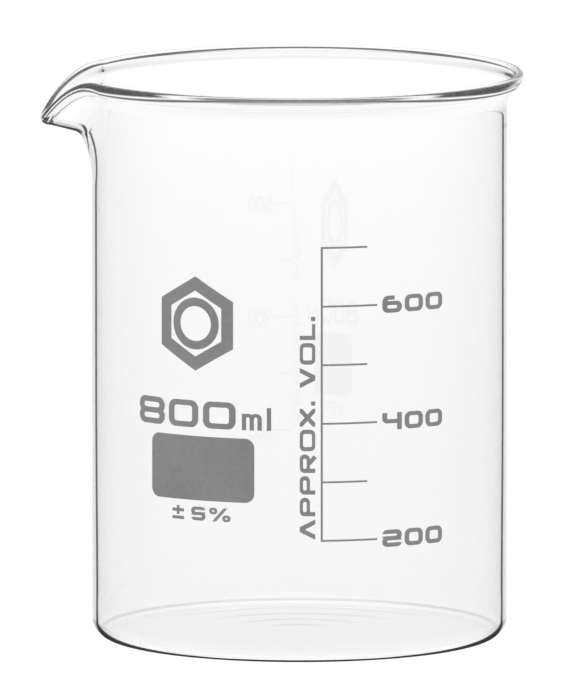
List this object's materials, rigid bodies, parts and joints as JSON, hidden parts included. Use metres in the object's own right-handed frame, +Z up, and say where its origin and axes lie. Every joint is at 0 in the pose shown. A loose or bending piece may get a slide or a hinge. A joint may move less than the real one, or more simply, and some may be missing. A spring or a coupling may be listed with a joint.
{
  "type": "laboratory beaker",
  "caption": "Low-form round glass beaker with a rolled rim, a pouring spout and grey enamel volume marks on the outside of the wall.",
  "frame": {"origin": "centre of the base, on the flat underside that the beaker stands on", "axes": "+Z up along the beaker's axis, the pouring spout points along -X, and the printed marks face -Y"},
  "size_m": [0.1141, 0.1058, 0.1344],
  "materials": {
    "clear_glass": "fire-polished, clear and colourless",
    "grey_enamel": "satin fired enamel, mid grey"
  },
  "bodies": {
    "root": {"glass_vessel": "clear_glass", "graduation_scale": "grey_enamel", "numeral_200": "grey_enamel", "numeral_400": "grey_enamel", "numeral_600": "grey_enamel", "volume_legend": "grey_enamel", "capacity_mark": "grey_enamel", "writing_patch": "grey_enamel", "tolerance_mark": "grey_enamel", "emblem": "grey_enamel"}
  },
  "joints": []
}
